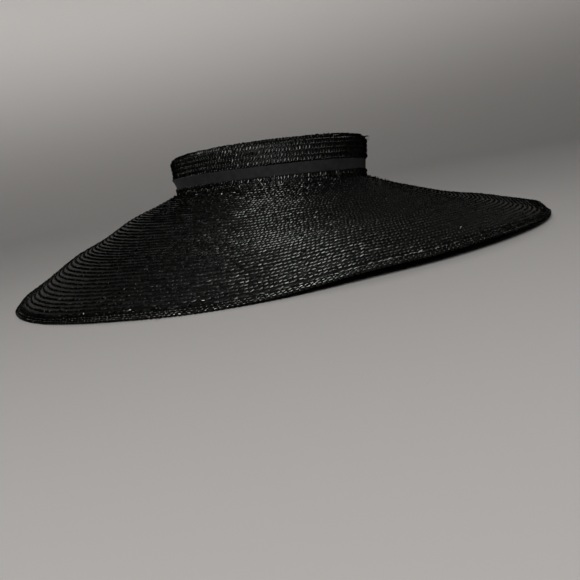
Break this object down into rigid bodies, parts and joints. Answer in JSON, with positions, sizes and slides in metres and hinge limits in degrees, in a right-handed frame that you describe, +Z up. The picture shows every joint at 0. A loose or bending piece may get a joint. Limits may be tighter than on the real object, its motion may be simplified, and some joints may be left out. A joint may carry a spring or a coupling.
{
  "type": "wide brim straw hat",
  "caption": "Black braided straw hat with a low flat crown, a deep drooping wide brim, a plain ribbon band and a corded rim, open underneath for a head.",
  "frame": {"origin": "on the ground under the middle of the rim's oval, which is the bottom centre of the bounding box", "axes": "+Z up out of the crown's tip, -Y towards the wearer's front, +X towards the wearer's left"},
  "size_m": [0.4733, 0.4993, 0.1044],
  "materials": {
    "straw": "sewn straw braid with a black lacquer, glossy in small glints",
    "straw_edge": "twisted straw cord with a black lacquer, glossy in small glints",
    "ribbon": "matte ribbed ribbon, dark charcoal"
  },
  "bodies": {
    "root": {"crown": "straw", "brim": "straw", "rim_edge": "straw_edge", "ribbon_band": "ribbon"}
  },
  "joints": []
}
